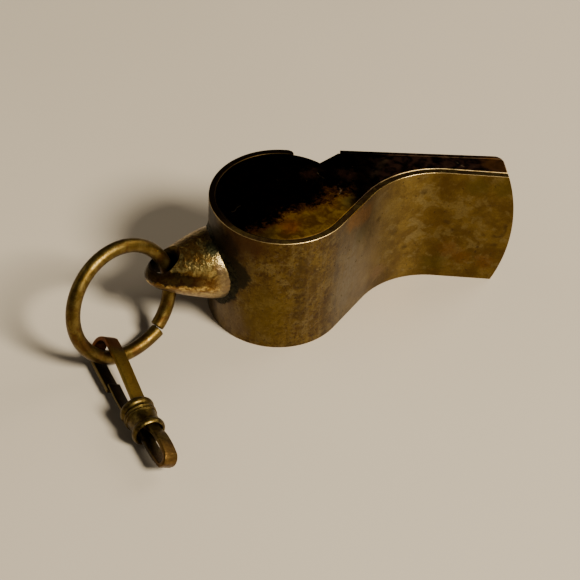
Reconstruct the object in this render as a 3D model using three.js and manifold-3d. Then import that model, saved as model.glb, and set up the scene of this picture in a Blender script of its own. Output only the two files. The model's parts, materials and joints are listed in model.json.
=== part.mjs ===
// A brass pea whistle lying on its side, with a split ring through its lug and a swivel snap hook
// on the ring.
//
// Millimetres, +Z up. The barrel's axis is the Z axis, z = 0 is the outer face of the lower side plate,
// and +X runs from the barrel towards the mouth.

import * as THREE from "three";
import { mergeVertices } from "three/addons/utils/BufferGeometryUtils.js";
import Module from "manifold-3d";

const { Shape, Vector2, Vector3, Matrix4 } = THREE;

// ---------------------------------------------------------------- driving dimensions

const BAND = 0.9; // thickness of the strip that makes the barrel and the S curve
const SHEET = 0.65; // thickness of the side plates and the roof
const SEAM = 0.03; // soldered gap between two sheets
const WIDTH = 19.73; // across the side plates
const MID = WIDTH / 2;

const BARREL_RADIUS = 10;
const LIP_START_DEG = 85; // where the barrel wall starts to round over towards the window
const LIP_END_DEG = 79.7; // the lip's edge, on the barrel's inner face
const LEAVE_DEG = 325.84; // where the wall leaves the barrel's circle for the S curve
const RAMP_LENGTH = 7.7; // straight stretch between the barrel and the hollow curve
const HOLLOW_RADIUS = 12.19; // outer radius of the hollow curve under the mouthpiece
const UNDERSIDE_DEG = -2.87; // heading of the mouthpiece's underside

const ROOF_TOP = 10.33; // height of the mouthpiece's flat top above the barrel's axis
const ROOF_START = 8.2; // square end of the roof at the sound window
const MOUTH_REACH = 33.7; // mouth, at the middle of the whistle's width
const MOUTH_RADIUS = 28.6; // the mouth's curve, seen from above the roof
const MOUTH_LEVEL = 5.5; // height at which the two mouth sizes hold
const MOUTH_SLANT = 0.115; // how far the mouth leans back for each millimetre of height
const MOUTH_CORNER = 1.35; // rounding of the roof's edge at the mouth
const UNTRIMMED = 38; // sheets are made this long and then trimmed to the mouth

const NOTCH_X = 5.3; // bottom of the side plates' V notch beside the window
const PLATE_LEAD = 0.3; // the side plates start this far in front of the roof's square end
const TONGUE_SHEET = 0.6;
const TONGUE_FOOT_DEG = -12.5; // the tongue's foot, where it meets the S curve
const TONGUE_TURN_DEG = 44; // where the tongue leaves the barrel's circle
const TONGUE_EDGE = [7.95, 8.1]; // middle of the sheet at the windway's slit
const TONGUE_END = [24.2, 7.37];

const PEA_RADIUS = 6.2;
const PEA_ORBIT = 2.65;
const PEA_DEG = 250;
const PEA_CLEARANCE = 0.08;

const LUG_DEG = 199.8; // direction of the lug from the barrel's axis
const LUG_TIP = 19.63; // from the barrel's axis
const LUG_HOLE = 16.85; // from the barrel's axis
const LUG_HOLE_RADIUS = 1.75;
const LUG_HOLE_MOUTH = 2.12; // the hole is eased open at both ends
const LUG_HOLE_EASE = 3.2; // half the height over which it opens
const SOLDER_GAP = 0.05;

const RING_RADIUS = 8.13; // to the middle of the wire
const RING_WIRE = 1.0; // wire radius
const RING_DEG = 43.2; // level direction from the ring's centre towards the lug's hole
const RING_LEAN_DEG = 14.4;
const RING_CENTRE = [-21.2, -10.85];
const RING_LIFT = 0.02; // the ring stands just clear of the surface
const RING_JOINT_DEG = 303.5; // where the wire's two ends meet, round the ring
const RING_GAP_DEG = 1.4;
const RING_MISFIT = 0.32; // how far one end stands out from the other
const RING_SPRUNG = 1 / 11; // share of the wire that springs out at one end
const RING_RELAXED = 1 / 9; // share of the wire that gives a little at the other
const RING_GIVE = 0.25; // how much it gives, as a share of the misfit

const CLIP_HANG_DEG = 236; // where the clip hangs, round the ring
const CLIP_HEADING_DEG = -62.9; // level direction from the ring towards the clip's eye
const CLIP_ROLL_DEG = 30;
const CLIP_WIDTH = 2.15; // width of the flat strip
const CLIP_STRIP = 0.6; // thickness of the hook's strip
const GATE_STRIP = 0.35;
const HOOK_NECK = 1.15; // leg's middle above the ferrule's axis
const GATE_NECK = -1.5; // gate's middle below the ferrule's axis
const HOOK_BEND = 2.05; // radius of the bend
const HOOK_RISE = 0.15; // centre of the bend above the ferrule's axis
const HOOK_LENGTH = 10.65; // ferrule to the centre of the bend
const HOOK_NOSE = 5.2; // ferrule to the tip of the nose
const HOOK_TANG = 0.85; // depth of the strip's end inside the ferrule
const CLIP_HANG_X = 10.35; // ferrule to the wire that it hangs on
const CLIP_HANG_Z = -0.19; // wire's middle, from the ferrule's axis
const GATE_TIP = 6.1;
const FERRULE_RADIUS = 2.4;
const FERRULE_LENGTH = 4.95;
const BEAD_RADIUS = 0.62; // round bead at the ferrule's hook end
const FERRULE_WEB = 1.9; // thickness of the solid end that holds the hook
const CUP_RADIUS = 1.85;
const FIT = 0.15; // clearance round the strips' ends in the ferrule
const RIVET_RADIUS = 0.38;
const RIVET_CLEARANCE = 0.08;
const RIVET_HEAD = 0.58;
const RIVET_BORE = [-4, 1]; // reach of the drill that makes its holes
const EYE_STRIP = 0.6;
const EYE_BASE = -3.0; // the eye's base, inside the cup
const EYE_TIP = -11.0;
const EYE_UPPER = 1.05; // the eye's legs above and below the rivet's axis
const EYE_LOWER = -0.8;
const EYE_BULGE = 1.42;
const EYE_TIP_RADIUS = 0.95; // to the middle of the strip
const EYE_TIP_RISE = 0.35;

const AGED_BRASS = { color: 0x6b5420, roughness: 0.38, metalness: 1.0 };
const DARK_BRASS = { color: 0x3a2a12, roughness: 0.3, metalness: 1.0 };
const GOLD_BRASS = { color: 0x9a7a2c, roughness: 0.32, metalness: 1.0 };
const OLIVE_BRASS = { color: 0x57481c, roughness: 0.42, metalness: 1.0 };
const SOLDER = { color: 0x24211a, roughness: 0.6, metalness: 0.6 };
const CORK = { color: 0x8a6238, roughness: 0.9, metalness: 0.0 };

// ---------------------------------------------------------------- geometry helpers

const radians = THREE.MathUtils.degToRad;

function polar(radius, degrees) {
  const angle = radians(degrees);
  return new Vector2(radius * Math.cos(angle), radius * Math.sin(angle));
}

function arc(centre, radius, fromDeg, toDeg, steps) {
  const points = [];
  for (let i = 0; i <= steps; i += 1) {
    const degrees = fromDeg + ((toDeg - fromDeg) * i) / steps;
    points.push(polar(radius, degrees).add(centre));
  }
  return points;
}

// The outline of a strip of even thickness whose middle follows the points.
function stripOutline(points, thickness) {
  const sides = [[], []];
  points.forEach((point, i) => {
    const before = points[Math.max(i - 1, 0)];
    const after = points[Math.min(i + 1, points.length - 1)];
    const arriving = point.clone().sub(before).normalize();
    const leaving = after.clone().sub(point).normalize();
    const heading = arriving.clone().add(leaving).normalize();
    const normal = new Vector2(-heading.y, heading.x);
    const straight = arriving.lengthSq() > 0 ? arriving : leaving;
    const mitre = Math.abs(heading.dot(straight));
    const reach = thickness / 2 / mitre;
    sides[0].push(point.clone().addScaledVector(normal, reach));
    sides[1].push(point.clone().addScaledVector(normal, -reach));
  });
  return [...sides[1], ...sides[0].reverse()];
}

function extrude(outline, depth, start = 0) {
  const shape = new Shape(outline);
  const geometry = new THREE.ExtrudeGeometry(shape, { depth, bevelEnabled: false });
  return geometry.translate(0, 0, start);
}

// A strip bent in the XZ plane, its width along Y and centred on it.
function bentStrip(points, thickness, width) {
  const geometry = extrude(stripOutline(points, thickness), width, -width / 2);
  return geometry.rotateX(Math.PI / 2);
}

// A turned shape about the X axis, from [along, radius] pairs.
function turnedAboutX(profile, segments) {
  const points = profile.map(([along, radius]) => new Vector2(radius, along));
  const geometry = new THREE.LatheGeometry(points, segments);
  return geometry.rotateZ(-Math.PI / 2);
}

// ---------------------------------------------------------------- joining and cutting

const wasm = await Module();
wasm.setup();

function toSolid(geometry) {
  const bare = geometry.clone();
  bare.deleteAttribute("normal");
  bare.deleteAttribute("uv");
  const merged = mergeVertices(bare, 1e-5);
  const triVerts = new Uint32Array(merged.index.array);
  const vertProperties = new Float32Array(merged.attributes.position.array);
  let solid = new wasm.Manifold(new wasm.Mesh({ numProp: 3, vertProperties, triVerts }));
  if (solid.volume() < 0) {
    const flipped = triVerts.slice();
    for (let i = 0; i < flipped.length; i += 3) {
      [flipped[i + 1], flipped[i + 2]] = [triVerts[i + 2], triVerts[i + 1]];
    }
    solid = new wasm.Manifold(new wasm.Mesh({ numProp: 3, vertProperties, triVerts: flipped }));
  }
  return solid;
}

function toGeometry(solid) {
  const mesh = solid.getMesh();
  const geometry = new THREE.BufferGeometry();
  geometry.setAttribute("position", new THREE.BufferAttribute(new Float32Array(mesh.vertProperties), 3));
  geometry.setIndex(new THREE.BufferAttribute(new Uint32Array(mesh.triVerts), 1));
  geometry.computeVertexNormals();
  return geometry;
}

function cut(geometry, ...tools) {
  const solid = tools.reduce((rest, tool) => rest.subtract(toSolid(tool)), toSolid(geometry));
  return toGeometry(solid);
}

function keep(geometry, region) {
  return toGeometry(toSolid(geometry).intersect(toSolid(region)));
}

function box(sizeX, sizeY, sizeZ, x, y, z) {
  return new THREE.BoxGeometry(sizeX, sizeY, sizeZ).translate(x, y, z);
}

// A round bar along X.
function barAlongX(radius, fromX, toX, segments) {
  const profile = [[fromX, 0], [fromX, radius], [toX, radius], [toX, 0]];
  return turnedAboutX(profile, segments);
}

// A round bar along Z.
function barAlongZ(radius, fromZ, toZ, segments) {
  return barAlongX(radius, fromZ, toZ, segments).rotateY(-Math.PI / 2);
}

function piece(name, geometry, finish) {
  const mesh = new THREE.Mesh(geometry, new THREE.MeshStandardMaterial(finish));
  mesh.name = name;
  return mesh;
}

// ---------------------------------------------------------------- whistle body

// The body strip's path from the lip, round the barrel and along the S curve to the mouth, at a depth
// inside its outer face.
function bodyPath(depth, lipDeg) {
  const barrel = arc(new Vector2(0, 0), BARREL_RADIUS - depth, lipDeg, LEAVE_DEG, 64);
  const rampHeading = polar(1, LEAVE_DEG + 90);
  const rampEnd = polar(BARREL_RADIUS, LEAVE_DEG).addScaledVector(rampHeading, RAMP_LENGTH);
  const hollowCentre = rampEnd.clone().add(polar(HOLLOW_RADIUS, LEAVE_DEG));
  const hollow = arc(hollowCentre, HOLLOW_RADIUS + depth, LEAVE_DEG - 180, UNDERSIDE_DEG + 90, 22);
  const lastPoint = hollow[hollow.length - 1];
  const drop = Math.tan(radians(UNDERSIDE_DEG));
  const mouth = new Vector2(UNTRIMMED, lastPoint.y + (UNTRIMMED - lastPoint.x) * drop);
  return [...barrel, ...hollow, mouth];
}

// Everything behind the mouth's curved and rounded end. Its axis is parallel to Y.
function mouthEnvelope() {
  const top = ROOF_TOP + 0.001;
  const bottom = -12;
  const reach = (level) => MOUTH_RADIUS - MOUTH_SLANT * (level - MOUTH_LEVEL);
  const cornerLevel = top - MOUTH_CORNER;
  const corner = arc(new Vector2(reach(cornerLevel) - MOUTH_CORNER, cornerLevel), MOUTH_CORNER, 0, 90, 6);
  const base = [new Vector2(0, bottom), new Vector2(reach(bottom), bottom)];
  const geometry = new THREE.LatheGeometry([...base, ...corner, new Vector2(0, top)], 96);
  return geometry.translate(MOUTH_REACH - MOUTH_RADIUS, 0, MID);
}

function barrelBand() {
  const lip = [];
  const lipSteps = 4;
  for (let i = 1; i < lipSteps; i += 1) {
    const turn = radians((90 * i) / lipSteps);
    const degrees = LIP_END_DEG + (LIP_START_DEG - LIP_END_DEG) * (1 - Math.sin(turn));
    const radius = BARREL_RADIUS - BAND + BAND * Math.cos(turn);
    lip.push(polar(radius, degrees));
  }
  const outer = bodyPath(0, LIP_START_DEG);
  const inner = bodyPath(BAND, LIP_END_DEG).reverse();
  const outline = [...outer, ...inner, ...lip.reverse()];
  return keep(extrude(outline, WIDTH), mouthEnvelope());
}

function sidePlate(startZ) {
  const depth = BAND + SEAM;
  const radius = BARREL_RADIUS - depth;
  const notch = new Vector2(NOTCH_X, Math.sqrt(radius ** 2 - NOTCH_X ** 2));
  const notchDeg = THREE.MathUtils.radToDeg(notch.angle());
  const ceiling = ROOF_TOP - SHEET - SEAM;
  const lower = bodyPath(depth, notchDeg);
  const upper = [new Vector2(UNTRIMMED, ceiling), new Vector2(ROOF_START - PLATE_LEAD, ceiling)];
  return keep(extrude([...lower, ...upper], SHEET, startZ), mouthEnvelope());
}

function mouthpieceRoof() {
  const length = UNTRIMMED - ROOF_START;
  const middle = ROOF_START + length / 2;
  return keep(box(length, SHEET, WIDTH, middle, ROOF_TOP - SHEET / 2, MID), mouthEnvelope());
}

function windwayTongue() {
  const radius = BARREL_RADIUS - BAND + TONGUE_SHEET / 2;
  const front = arc(new Vector2(0, 0), radius, TONGUE_FOOT_DEG, TONGUE_TURN_DEG, 16);
  const outline = stripOutline(
    [...front, new Vector2(...TONGUE_EDGE), new Vector2(...TONGUE_END)],
    TONGUE_SHEET,
  );
  const inset = SHEET + SEAM;
  return extrude(outline, WIDTH - 2 * inset, inset);
}

function corkPea() {
  const geometry = new THREE.SphereGeometry(PEA_RADIUS, 24, 14);
  geometry.rotateX(Math.PI / 2);
  const centre = polar(PEA_ORBIT, PEA_DEG);
  return geometry.translate(centre.x, centre.y, SHEET + PEA_RADIUS + PEA_CLEARANCE);
}

// ---------------------------------------------------------------- lug

const LUG_SEGMENTS = 32;
const LUG_FOOT = 5.15; // radius of the foot that sits on the barrel
const SOLDER_REACH = 5.8; // radius that the solder spreads to
const SOLDER_DEPTH = 0.3;
const HOLE_EASE_STEPS = 4;
const HOLE_EASE_POWER = 1.5; // the hole opens slowly at first and faster at its ends

function lugPlacement() {
  return new Matrix4().makeRotationZ(radians(LUG_DEG)).setPosition(0, 0, MID);
}

function barrelCore(radius) {
  return barAlongZ(radius, -MID, MID, 96).rotateZ(radians(-LUG_DEG));
}

function lugHole() {
  const ease = (part) => (LUG_HOLE_MOUTH - LUG_HOLE_RADIUS) * Math.abs(part) ** HOLE_EASE_POWER;
  const clear = 2 * LUG_HOLE_EASE;
  const profile = [[-clear, 0], [-clear, LUG_HOLE_MOUTH]];
  for (let step = -HOLE_EASE_STEPS; step <= HOLE_EASE_STEPS; step += 1) {
    const part = step / HOLE_EASE_STEPS;
    profile.push([part * LUG_HOLE_EASE, LUG_HOLE_RADIUS + ease(part)]);
  }
  profile.push([clear, LUG_HOLE_MOUTH], [clear, 0]);
  const geometry = turnedAboutX(profile, 24).rotateY(-Math.PI / 2);
  return geometry.translate(LUG_HOLE, 0, 0);
}

function ringLug() {
  const foot = [[8, 0], [8, LUG_FOOT], [9.7, LUG_FOOT], [10.4, 5.06]];
  const taper = [[11.4, 4.82], [12.8, 4.36], [14.5, 3.74], [16.3, 3.0], [17.8, 2.3]];
  const nose = [[18.7, 1.68], [19.25, 1.08], [19.55, 0.52], [LUG_TIP, 0]];
  const profile = [...foot, ...taper, ...nose];
  const turned = turnedAboutX(profile, LUG_SEGMENTS);
  const geometry = cut(turned, barrelCore(BARREL_RADIUS + SOLDER_GAP), lugHole());
  return geometry.applyMatrix4(lugPlacement());
}

function lugSolder() {
  const inner = LUG_FOOT + SOLDER_GAP;
  const profile = [[7, inner], [7, SOLDER_REACH], [11, SOLDER_REACH], [11, inner], [7, inner]];
  const sleeve = turnedAboutX(profile, LUG_SEGMENTS);
  const skin = keep(sleeve, barrelCore(BARREL_RADIUS + SOLDER_GAP + SOLDER_DEPTH));
  return cut(skin, barrelCore(BARREL_RADIUS + SOLDER_GAP)).applyMatrix4(lugPlacement());
}

// ---------------------------------------------------------------- split ring

const ringLevel = new Vector3(Math.cos(radians(RING_DEG)), Math.sin(radians(RING_DEG)), 0);
const ringSide = new Vector3(-ringLevel.y, ringLevel.x, 0);
const ringUp = new Vector3(0, 0, Math.cos(radians(RING_LEAN_DEG)));
ringUp.addScaledVector(ringSide, Math.sin(radians(RING_LEAN_DEG)));
const ringNormal = ringLevel.clone().cross(ringUp);
const ringCentre = new Vector3(...RING_CENTRE, RING_RADIUS * ringUp.z + RING_WIRE + RING_LIFT);

// A point on the wire's middle line, at an angle counted from the lug up and over.
function ringPoint(degrees, radius = RING_RADIUS, aside = 0) {
  const flat = polar(radius, degrees);
  const point = ringCentre.clone().addScaledVector(ringLevel, flat.x).addScaledVector(ringUp, flat.y);
  return point.addScaledVector(ringNormal, aside);
}

// The wire's middle line from one cut end to the other. The first end springs out over its last stretch.
class RingWire extends THREE.Curve {
  getPoint(t, target = new Vector3()) {
    const sweep = 360 - RING_GAP_DEG;
    const degrees = RING_JOINT_DEG + RING_GAP_DEG / 2 - 360 + sweep * t;
    const spring = Math.max(0, 1 - (1 - t) / RING_SPRUNG) ** 2;
    const relax = Math.max(0, 1 - t / RING_RELAXED) ** 2;
    const radius = RING_RADIUS + RING_MISFIT * (spring - RING_GIVE * relax);
    return target.copy(ringPoint(degrees, radius, (RING_MISFIT * spring) / 2));
  }
}

function splitRing() {
  const section = new Shape(arc(new Vector2(0, 0), RING_WIRE, 0, 330, 11));
  const options = { steps: 60, extrudePath: new RingWire(), bevelEnabled: false };
  return new THREE.ExtrudeGeometry(section, options);
}

// ---------------------------------------------------------------- swivel snap hook
// In the clip's own frame the ferrule's top is at x = 0, the hook runs along +X and opens on its -Z side,
// and the eye runs along -X.

function clipPlacement() {
  const flat = polar(1, CLIP_HEADING_DEG);
  const alongHook = new Vector3(-flat.x, -flat.y, 0);
  const level = new Vector3(-flat.y, flat.x, 0);
  const roll = radians(CLIP_ROLL_DEG);
  const up = new Vector3(0, 0, Math.cos(roll)).addScaledVector(level, Math.sin(roll));
  const across = up.clone().cross(alongHook);
  const placement = new Matrix4().makeBasis(alongHook, across, up);
  const hang = new Vector3(CLIP_HANG_X, 0, CLIP_HANG_Z).applyMatrix4(placement);
  return placement.setPosition(ringPoint(CLIP_HANG_DEG).sub(hang));
}

function hookMiddleLine() {
  const bend = arc(new Vector2(HOOK_LENGTH, HOOK_RISE), HOOK_BEND, 86, -76, 12);
  const upperLeg = [
    new Vector2(-HOOK_TANG, HOOK_NECK),
    new Vector2(0.3, HOOK_NECK),
    new Vector2(3.6, HOOK_NECK + 0.42),
    new Vector2(7.4, HOOK_NECK + 0.9),
  ];
  const nose = [
    new Vector2(9.0, HOOK_RISE - 2.07),
    new Vector2(7.2, HOOK_RISE - 2.1),
    new Vector2(HOOK_NOSE, HOOK_RISE - 2.14),
  ];
  return [...upperLeg, ...bend, ...nose];
}

function gateMiddleLine() {
  return [
    new Vector2(-HOOK_TANG, GATE_NECK),
    new Vector2(0.6, GATE_NECK),
    new Vector2(3.4, GATE_NECK - 0.03),
    new Vector2(GATE_TIP, GATE_NECK + 0.12),
  ];
}

function clipFerrule() {
  const bead = arc(new Vector2(-BEAD_RADIUS, FERRULE_RADIUS - BEAD_RADIUS), BEAD_RADIUS, 0, 180, 8)
    .map((point) => [point.x, point.y]);
  const rings = [
    [-1.42, 2.12], [-1.54, 2.26], [-1.76, 2.28], [-1.88, 2.1],
    [-2.0, 2.22], [-2.22, 2.22], [-2.34, 2.08], [-3.2, 2.02], [-3.85, 2.06],
  ];
  const rim = [[-4.1, 2.24], [-4.42, 2.32], [-4.75, 2.26], [-FERRULE_LENGTH, 2.1]];
  const mouth = [[-FERRULE_LENGTH, CUP_RADIUS + 0.08], [-4.75, CUP_RADIUS]];
  const cup = [...mouth, [-FERRULE_WEB, CUP_RADIUS], [-FERRULE_WEB, 0]];
  const profile = [[0, 0], ...bead, ...rings, ...rim, ...cup].reverse();
  const slotDepth = HOOK_TANG + FIT;
  const slot = (z, thickness) =>
    box(2 * slotDepth, CLIP_WIDTH + 2 * FIT, thickness + 2 * FIT, 0, 0, z);
  return cut(
    turnedAboutX(profile, 32),
    slot(HOOK_NECK, CLIP_STRIP),
    slot(GATE_NECK, GATE_STRIP),
    barAlongX(RIVET_RADIUS + RIVET_CLEARANCE, ...RIVET_BORE, 16),
  );
}

function swivelRivet() {
  const reach = EYE_BASE - EYE_STRIP;
  const profile = [
    [reach - 0.45, 0], [reach - 0.45, 0.4], [reach - 0.25, RIVET_HEAD], [reach - 0.1, RIVET_HEAD],
    [reach - 0.1, RIVET_RADIUS], [0.1, RIVET_RADIUS], [0.1, 0.5], [0.3, 0.42], [0.42, 0],
  ];
  return turnedAboutX(profile, 16);
}

function swivelEye() {
  const tipCentre = new Vector2(EYE_TIP + EYE_TIP_RADIUS + EYE_STRIP / 2, EYE_TIP_RISE);
  const tip = arc(tipCentre, EYE_TIP_RADIUS, 98, 250, 8);
  const loop = [
    new Vector2(EYE_BASE - EYE_STRIP / 2, 0),
    new Vector2(EYE_BASE - EYE_STRIP / 2, EYE_UPPER),
    new Vector2(-5.1, EYE_UPPER),
    new Vector2(-6.6, EYE_BULGE),
    new Vector2(-8.4, EYE_BULGE + 0.05),
    ...tip,
    new Vector2(-7.8, EYE_LOWER - 0.05),
    new Vector2(EYE_BASE - EYE_STRIP / 2, EYE_LOWER),
  ];
  const outer = offsetLoop(loop, EYE_STRIP / 2);
  const inner = offsetLoop(loop, -EYE_STRIP / 2);
  const shape = new Shape(outer);
  shape.holes.push(new THREE.Path(inner));
  const width = CLIP_WIDTH - 0.1;
  const geometry = new THREE.ExtrudeGeometry(shape, { depth: width, bevelEnabled: false });
  geometry.translate(0, 0, -width / 2).rotateX(Math.PI / 2);
  return cut(geometry, barAlongX(RIVET_RADIUS + RIVET_CLEARANCE, ...RIVET_BORE, 16));
}

// A closed outline moved outwards by a distance, each corner along its mitre. The points run anticlockwise.
function offsetLoop(points, distance) {
  return points.map((point, i) => {
    const before = points[(i + points.length - 1) % points.length];
    const after = points[(i + 1) % points.length];
    const arriving = point.clone().sub(before).normalize();
    const leaving = after.clone().sub(point).normalize();
    const heading = arriving.clone().add(leaving).normalize();
    const outward = new Vector2(heading.y, -heading.x);
    return point.clone().addScaledVector(outward, distance / heading.dot(arriving));
  });
}

// ---------------------------------------------------------------- assembly

const body = new THREE.Group();
body.add(
  piece("barrel_band", barrelBand(), AGED_BRASS),
  piece("lower_side_plate", sidePlate(0), DARK_BRASS),
  piece("upper_side_plate", sidePlate(WIDTH - SHEET), DARK_BRASS),
  piece("mouthpiece_roof", mouthpieceRoof(), DARK_BRASS),
  piece("windway_tongue", windwayTongue(), DARK_BRASS),
  piece("cork_pea", corkPea(), CORK),
  piece("ring_lug", ringLug(), GOLD_BRASS),
  piece("lug_solder", lugSolder(), SOLDER),
  piece("split_ring", splitRing(), GOLD_BRASS),
);

const clip = new THREE.Group();
clip.applyMatrix4(clipPlacement());
clip.add(
  piece("clip_hook", bentStrip(hookMiddleLine(), CLIP_STRIP, CLIP_WIDTH), OLIVE_BRASS),
  piece("clip_gate", bentStrip(gateMiddleLine(), GATE_STRIP, CLIP_WIDTH - 0.2), OLIVE_BRASS),
  piece("clip_ferrule", clipFerrule(), OLIVE_BRASS),
  piece("swivel_rivet", swivelRivet(), OLIVE_BRASS),
  piece("swivel_eye", swivelEye(), OLIVE_BRASS),
);

const whistle = new THREE.Group();
whistle.add(body, clip);

export default whistle;
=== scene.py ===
"""Looks for a brass pea whistle with a split ring and a swivel snap hook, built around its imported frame.

Blender 4.5, metres, +Z up. The barrel's axis is the Z axis, the whistle lies on z = 0, and +X runs from the
barrel towards the mouth.
"""

import json
import math

import bmesh
import bpy
from mathutils import Matrix, Vector, noise


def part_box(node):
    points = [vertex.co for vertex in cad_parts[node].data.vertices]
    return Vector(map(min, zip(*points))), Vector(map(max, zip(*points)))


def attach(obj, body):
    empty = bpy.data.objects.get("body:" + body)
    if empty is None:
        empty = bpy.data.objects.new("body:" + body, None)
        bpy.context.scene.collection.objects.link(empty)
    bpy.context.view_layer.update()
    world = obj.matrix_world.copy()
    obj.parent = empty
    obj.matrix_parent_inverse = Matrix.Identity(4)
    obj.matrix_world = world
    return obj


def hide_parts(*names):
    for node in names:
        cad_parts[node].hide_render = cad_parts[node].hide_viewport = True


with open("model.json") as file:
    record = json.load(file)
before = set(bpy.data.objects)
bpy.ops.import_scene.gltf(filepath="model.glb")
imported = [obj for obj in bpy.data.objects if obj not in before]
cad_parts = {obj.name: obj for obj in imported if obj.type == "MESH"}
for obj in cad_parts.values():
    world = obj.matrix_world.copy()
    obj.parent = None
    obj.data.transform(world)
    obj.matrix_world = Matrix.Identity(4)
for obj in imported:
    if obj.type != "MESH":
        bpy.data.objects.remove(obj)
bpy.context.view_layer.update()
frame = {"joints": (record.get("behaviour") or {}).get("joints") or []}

MM = 0.001

# -------- sizes

BAND_LOW, BAND_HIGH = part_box("barrel_band")
BARREL_RADIUS = -BAND_LOW.x
WIDTH = BAND_HIGH.z
MID = WIDTH / 2
MOUTH_REACH = BAND_HIGH.x  # at the middle of the width

BAND = 0.9 * MM  # thickness of the strip that makes the barrel and the S curve
SHEET = 0.65 * MM  # thickness of the side plates and the roof
SEAM = 0.03 * MM
LIP_START_DEG = 85
LIP_END_DEG = 79.7
LEAVE_DEG = 325.84  # where the wall leaves the barrel's circle for the S curve
RAMP_LENGTH = 7.7 * MM
HOLLOW_RADIUS = 12.19 * MM
UNDERSIDE_DEG = -2.87

ROOF_LOW, ROOF_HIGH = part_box("mouthpiece_roof")
ROOF_TOP = ROOF_HIGH.y
ROOF_START = ROOF_LOW.x
MOUTH_RADIUS = 28.6 * MM  # the mouth's curve, seen from above the roof
MOUTH_LEVEL = 5.5 * MM
MOUTH_SLANT = 0.115
MOUTH_CORNER = 1.35 * MM

NOTCH_X = 5.3 * MM
TONGUE_SHEET = 0.6 * MM
TONGUE_FOOT_DEG = -12.5
TONGUE_TURN_DEG = 44
TONGUE_EDGE = Vector((7.95, 8.1)) * MM
TONGUE_END = Vector((24.2, 7.37)) * MM

PEA_LOW, PEA_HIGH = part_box("cork_pea")
PEA_CENTRE = (PEA_LOW + PEA_HIGH) / 2
PEA_RADIUS = (PEA_HIGH.z - PEA_LOW.z) / 2

LUG_DEG = 199.8  # direction of the lug from the barrel's axis
# The lug's outline from its foot almost to its tip, as (along, radius) pairs in millimetres
LUG_PROFILE = ((10.4, 5.06), (11.4, 4.82), (12.8, 4.36), (14.5, 3.74), (16.3, 3.0), (17.8, 2.3),
               (18.7, 1.68), (19.25, 1.08), (19.55, 0.52))
LUG_TIP = 19.63 * MM
LUG_HOLE = 16.85 * MM
LUG_HOLE_RADIUS = 1.8 * MM
LUG_HOLE_MOUTH = 2.22 * MM  # the hole is eased open at both ends
LUG_HOLE_EASE = 3.2 * MM  # from the hole's middle to where it is widest
LUG_FOOT = 5.15 * MM
LUG_GAP = 0.05 * MM  # between the lug and the barrel

RING_RADIUS = 8.13 * MM
RING_WIRE = 0.995 * MM
RING_DEG = 43.2
RING_LEAN_DEG = 14.4
RING_CENTRE_X = -21.2 * MM
RING_CENTRE_Y = -10.85 * MM
RING_LIFT = 0.02 * MM  # the ring stands just clear of the table
RING_JOINT_DEG = 303.5  # where the wire's two ends meet, round the ring
RING_GAP_DEG = 1.4
RING_MISFIT = 0.32 * MM  # how far one end springs outwards
RING_CHAMFER = 0.14 * MM  # on the wire's two ends

CLIP_WIDTH = 2.15 * MM
CLIP_STRIP = 0.6 * MM
GATE_STRIP = 0.35 * MM
GATE_ROOM = 0.2 * MM  # for the gate's tang, when the gate is pressed
HOOK_NECK = 1.15 * MM  # the hook's leg, above the ferrule's axis
GATE_NECK = -1.5 * MM  # the gate, below the ferrule's axis
HOOK_BEND = 2.05 * MM  # radius of the bend
HOOK_RISE = 0.15 * MM  # of the bend's centre over the ferrule's axis
HOOK_LENGTH = 10.65 * MM  # to the bend's centre
HOOK_LEG = ((0.3, 0), (3.6, 0.42), (7.4, 0.9))  # over the neck's level, in millimetres
HOOK_FALL = ((9.0, -2.07), (7.2, -2.1))  # from the bend back to the nose, in millimetres
HOOK_NOSE = (5.2 * MM, -2.14 * MM)
HOOK_TANG = 0.85 * MM  # how far both strips go into the ferrule
GATE_TIP = 6.1 * MM
STRIP_EDGE = 0.14 * MM  # rounding of the hook's edges
GATE_EDGE = 0.1 * MM
FIT = 0.15 * MM  # room round a strip in its slot

# The ferrule in millimetres: its front bead, and its outline behind that as (along, radius) pairs
BEAD_ROUND = 0.62
BEAD_RADIUS = 2.4
FERRULE_PROFILE = ((-1.24, 1.78), (-1.42, 2.12), (-1.54, 2.26), (-1.76, 2.28), (-1.88, 2.1), (-2.0, 2.22),
                   (-2.22, 2.22), (-2.34, 2.08), (-3.2, 2.02), (-3.85, 2.06), (-4.1, 2.24), (-4.42, 2.32),
                   (-4.75, 2.26), (-4.95, 2.1))
FERRULE_LENGTH = 4.95 * MM
FERRULE_WEB = 1.9 * MM  # thickness in front of the cup
CUP_RADIUS = 1.85 * MM
CUP_FLARE = 0.08 * MM

RIVET_RADIUS = 0.38 * MM
RIVET_HEAD = 0.58 * MM
EYE_STRIP = 0.6 * MM
EYE_BASE = -3.3 * MM
EYE_EDGE = 0.16 * MM
EYE_ROUND = ((-9.75, 0.35), 0.95)  # centre and radius of the eye's far end, in millimetres
EYE_UPPER = 1.05  # levels of the eye's two sides, in millimetres
EYE_BULGE = 1.42
EYE_LOWER = -0.8

ARRIS = 0.07 * MM  # rounding of a sheet's edges
ARRIS_FROM_DEG = 55  # only an edge that turns by more than this is rounded

JOINTS = {joint["name"]: joint for joint in frame["joints"]}


# -------- points and lines

def polar(radius, degrees):
    angle = math.radians(degrees)
    return Vector((radius * math.cos(angle), radius * math.sin(angle)))


def blend(low, high, share):
    return low + (high - low) * share


def arc(centre, radius, start, end, steps):
    return [centre + polar(radius, blend(start, end, i / steps)) for i in range(steps + 1)]


def circle(radius, count):
    return [polar(radius, 360 * i / count) for i in range(count)]


def point_at(points, i, closed):
    """Point i of the line. Past an end, a closed line goes round and an open one gives its end point."""
    last = len(points) - 1
    return points[i % (last + 1) if closed else min(max(i, 0), last)]


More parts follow.
